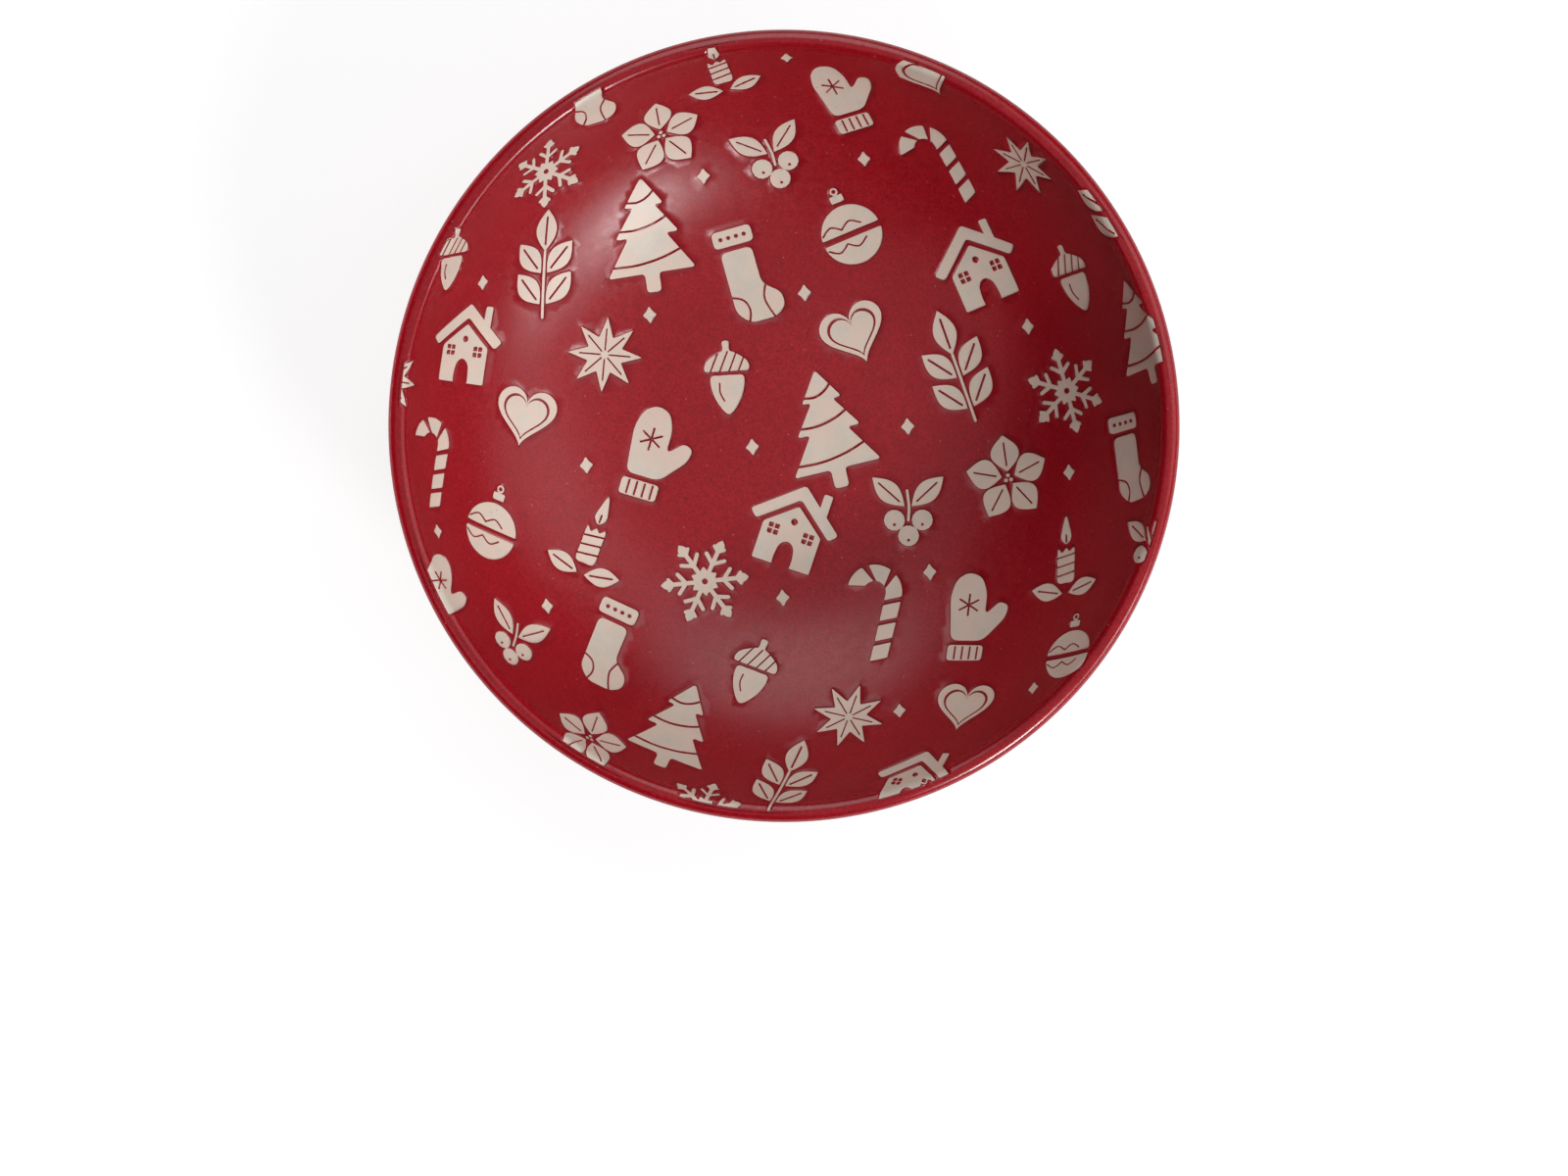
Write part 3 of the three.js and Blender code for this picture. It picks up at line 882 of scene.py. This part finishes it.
def add_mix(nodes, links, share, first, second):
    """One colour passing into another. Each is a colour or the output of a node."""
    mix = nodes.new("ShaderNodeMix")
    mix.data_type = "RGBA"
    links.new(share, mix.inputs["Factor"])
    for name, colour in (("A", first), ("B", second)):
        socket = next(i for i in mix.inputs if i.name == name and i.type == "RGBA")
        if isinstance(colour, tuple):
            socket.default_value = (*colour, 1)
        else:
            links.new(colour, socket)
    return next(o for o in mix.outputs if o.type == "RGBA")


def add_choice(nodes, links, share, first, second):
    """One value passing into another. Each is a number or the output of a node."""
    mix = nodes.new("ShaderNodeMix")
    links.new(share, mix.inputs[0])
    for socket, value in ((mix.inputs[2], first), (mix.inputs[3], second)):
        if isinstance(value, (int, float)):
            socket.default_value = value
        else:
            links.new(value, socket)
    return mix.outputs[0]


def add_height(nodes, links, kind="Object"):
    """The height over the table in metres or, of a direction in the world, over the horizon."""
    parts = nodes.new("ShaderNodeSeparateXYZ")
    links.new(add_place(nodes, kind), parts.inputs[0])
    return parts.outputs["Z"]


def add_painted_edge(nodes):
    """The share of painted shade on the glaze and painted light on the clay: 1 at the windows' edges,
    and less beside them.
    """
    painted_edge = nodes.new("ShaderNodeAttribute")
    painted_edge.attribute_name = PAINTED_EDGE_ATTRIBUTE
    return painted_edge.outputs["Fac"]


def add_bump(nodes, links, height, depth, below=None):
    """A bumpy skin, over another one or over the plain surface."""
    bump = nodes.new("ShaderNodeBump")
    bump.inputs["Distance"].default_value = depth * MM
    links.new(height, bump.inputs["Height"])
    if below:
        links.new(below, bump.inputs["Normal"])
    return bump.outputs["Normal"]


def clay_material():
    """Bare matt clay: cream, faintly clouded, with fine sand, a few dark specks, and painted pink
    light beside the windows' edges.
    """
    material, nodes, links = new_material("bare_clay")
    shader = nodes["Principled BSDF"]
    clouds = add_noise(nodes, links, *CLAY_CLOUDS)
    clouds = add_range(nodes, links, clouds, CLOUD_LEVELS, (0, 1))
    colour = add_mix(nodes, links, clouds, CLAY_DARK, CLAY_LIGHT)
    sand = add_noise(nodes, links, *CLAY_SAND_GRAIN)
    sand = add_range(nodes, links, sand, GRAIN_LEVELS, (0, SAND_SHARE))
    colour = add_mix(nodes, links, sand, colour, CLAY_SAND)
    colour = add_mix(nodes, links, add_specks(nodes, links, *CLAY_SPECKS), colour, CLAY_SPECK)
    # painted pink light beside the windows' edges, thrown from the red glaze, and partly a bleed of
    # glaze
    colour = add_mix(nodes, links, add_painted_edge(nodes), colour, CLAY_EDGE_BLEED_AND_BOUNCE)
    links.new(colour, shader.inputs["Base Color"])
    shader.inputs["Roughness"].default_value = CLAY_ROUGHNESS
    skin = add_bump(nodes, links, add_noise(nodes, links, *CLAY_SKIN), CLAY_SKIN_DEPTH)
    links.new(skin, shader.inputs["Normal"])
    return material


def glaze_material():
    """Satin red glaze, faintly clouded, with a fine grain, sparse specks, painted shade beside the
    windows' edges and a polished lip.
    """
    material, nodes, links = new_material("red_glaze")
    shader = nodes["Principled BSDF"]
    clouds = add_noise(nodes, links, *GLAZE_CLOUDS)
    clouds = add_range(nodes, links, clouds, CLOUD_LEVELS, (0, 1))
    colour = add_mix(nodes, links, clouds, GLAZE_DEEP, GLAZE_RED)
    speckle = add_noise(nodes, links, *GLAZE_SPECKLE_GRAIN)
    speckle = add_range(nodes, links, speckle, SPECKLE_LEVELS, (0, SPECKLE_SHARE))
    colour = add_mix(nodes, links, speckle, colour, GLAZE_SPECKLE)
    for specks, shade in ((PALE_SPECKS, GLAZE_PALE_SPECK), (DARK_SPECKS, GLAZE_DARK_SPECK)):
        colour = add_mix(nodes, links, add_specks(nodes, links, *specks), colour, shade)
    # painted shade beside the windows' edges, where the coat steps down, and partly glaze pooled there
    colour = add_mix(nodes, links, add_painted_edge(nodes), colour, GLAZE_EDGE_SHADE)
    links.new(colour, shader.inputs["Base Color"])

    lip_heights = tuple(z * MM for z in LIP_BAND)
    lip = add_range(nodes, links, add_height(nodes, links), lip_heights, (0, 1))
    unevenness = add_noise(nodes, links, *GLAZE_UNEVENNESS)
    satin = add_range(nodes, links, unevenness, GRAIN_LEVELS, GLAZE_ROUGHNESS)
    polish = add_range(nodes, links, unevenness, GRAIN_LEVELS, LIP_ROUGHNESS)
    links.new(add_choice(nodes, links, lip, satin, polish), shader.inputs["Roughness"])

    skin = None
    for noise, depth in ((GLAZE_WAVES, GLAZE_WAVE_DEPTH), (GLAZE_SKIN, GLAZE_SKIN_DEPTH)):
        height = add_choice(nodes, links, lip, add_noise(nodes, links, *noise), EVEN)
        skin = add_bump(nodes, links, height, depth, skin)
    links.new(skin, shader.inputs["Normal"])
    return material


# Stage

PHOTO_SIZE = (1600, 1200)
PLATE_PIXEL = (800, 437.6)  # middle of the plate in the photograph
PLATE_PIXELS = 809  # its width there
CAMERA_DISTANCE = 750  # from the rim's plane
SENSOR = 36

# From here on in metres
CAMERA_REACH = 20
FLOOR_SIZE = 12
FLOOR_COLOUR = (0.85, 0.85, 0.85)
FLOOR_ROUGHNESS = 0.9
FLOOR_FADE = (0.2, 0.75)  # distances over which the floor passes into the white background
FLOOR_GLOW = (0.8, 1.0)  # how white the camera sees it, from near the plate to the background
FLOOR_SHADE = (0.3, 0.0)  # how much of the lamps' light and the plate's shadow it adds to that
GLOSSY_FLOOR = 0.12  # how bright reflections see the floor
CEILING_LEVEL = 0.39
CEILING_FADE = (0.75, 0.9)  # sine of the height over the horizon, from the dark sides to the ceiling
LIGHT_TARGET = Vector((0, 0, 0.03))
LIGHT_DISTANCE = 1.3
# Name, tilt from the upright, azimuth, width and height, power, and whether the glaze mirrors it
LAMPS = [
    ("front_right", 58, 305, (0.3, 0.3), 9.2, True),
    ("right_low", 65, 330, (0.35, 0.35), 2.9, True),
    ("back", 50, 91, (1.2, 1.2), 7.5, True),
    ("right", 54, 10, (1.0, 1.0), 3.1, True),
    ("right_top", 35, 30, (0.6, 0.6), 0.8, True),
    ("left", 40, 215, (0.5, 0.5), 0.4, True),
    ("left_card", 90, 180, (0.5, 0.05), 12, False),
]


def add_camera():
    """The camera of the photograph's upper view, straight above the plate."""
    focal_pixels = PLATE_PIXELS * CAMERA_DISTANCE / (2 * RIM_RADIUS)
    data = bpy.data.cameras.new("camera")
    data.sensor_width = SENSOR
    data.lens = focal_pixels * SENSOR / PHOTO_SIZE[0]
    data.clip_end = CAMERA_REACH
    camera = bpy.data.objects.new("camera", data)
    bpy.context.scene.collection.objects.link(camera)
    bpy.context.scene.camera = camera
    camera.location = (0, 0, (HEIGHT + CAMERA_DISTANCE) * MM)
    above_middle = PHOTO_SIZE[1] / 2 - PLATE_PIXEL[1]
    camera.rotation_euler = (-math.atan(above_middle / focal_pixels), 0, 0)


def add_floor():
    """A pale floor. The camera sees it white, with the shadow of the plate."""
    bpy.ops.mesh.primitive_plane_add(size=FLOOR_SIZE, location=(0, 0, 0))
    floor = bpy.context.object
    floor.name = "floor"
    material, nodes, links = new_material("floor")
    shader = nodes["Principled BSDF"]
    shader.inputs["Roughness"].default_value = FLOOR_ROUGHNESS
    shader.inputs["Specular IOR Level"].default_value = 0
    path = nodes.new("ShaderNodeLightPath")
    distance = nodes.new("ShaderNodeVectorMath")
    distance.operation = "LENGTH"
    links.new(add_place(nodes), distance.inputs[0])
    glow = add_range(nodes, links, distance.outputs["Value"], FLOOR_FADE, FLOOR_GLOW)
    shade = add_range(nodes, links, distance.outputs["Value"], FLOOR_FADE, FLOOR_SHADE)
    colour = add_mix(nodes, links, path.outputs["Is Camera Ray"], FLOOR_COLOUR, shade)
    links.new(colour, shader.inputs["Base Color"])
    white = add_choice(nodes, links, path.outputs["Is Glossy Ray"], 0, GLOSSY_FLOOR)
    white = add_choice(nodes, links, path.outputs["Is Camera Ray"], white, glow)
    links.new(white, shader.inputs["Emission Strength"])
    shader.inputs["Emission Color"].default_value = (1, 1, 1, 1)
    floor.data.materials.append(material)


def add_light(name, tilt, azimuth, size, power, seen_in_glaze):
    """A soft lamp over the plate, tilted from the upright by an angle, towards an azimuth."""
    data = bpy.data.lights.new(name, "AREA")
    data.shape = "ELLIPSE"
    data.size, data.size_y = size
    data.energy = power
    light = bpy.data.objects.new(name, data)
    bpy.context.scene.collection.objects.link(light)
    tilt, azimuth = math.radians(tilt), math.radians(azimuth)
    away = Vector((*polar(math.sin(tilt), azimuth), math.cos(tilt)))
    light.location = LIGHT_TARGET + away * LIGHT_DISTANCE
    light.rotation_euler = away.to_track_quat("Z", "Y").to_euler()
    light.visible_camera = False
    light.visible_glossy = seen_in_glaze


def add_world():
    """A soft pale ceiling, and white where the camera looks past the floor."""
    world = bpy.data.worlds.new("studio")
    world.use_nodes = True
    nodes, links = world.node_tree.nodes, world.node_tree.links
    background = nodes["Background"]
    background.inputs["Color"].default_value = (1, 1, 1, 1)
    path = nodes.new("ShaderNodeLightPath")
    height = add_height(nodes, links, "Generated")
    ceiling = add_range(nodes, links, height, CEILING_FADE, (0, CEILING_LEVEL))
    level = add_choice(nodes, links, path.outputs["Is Camera Ray"], ceiling, 1)
    links.new(level, background.inputs["Strength"])
    bpy.context.scene.world = world


add_camera()
add_floor()
add_world()
for lamp in LAMPS:
    add_light(*lamp)
build_plate(clay_material(), glaze_material())
bpy.context.scene.view_settings.view_transform = "Standard"
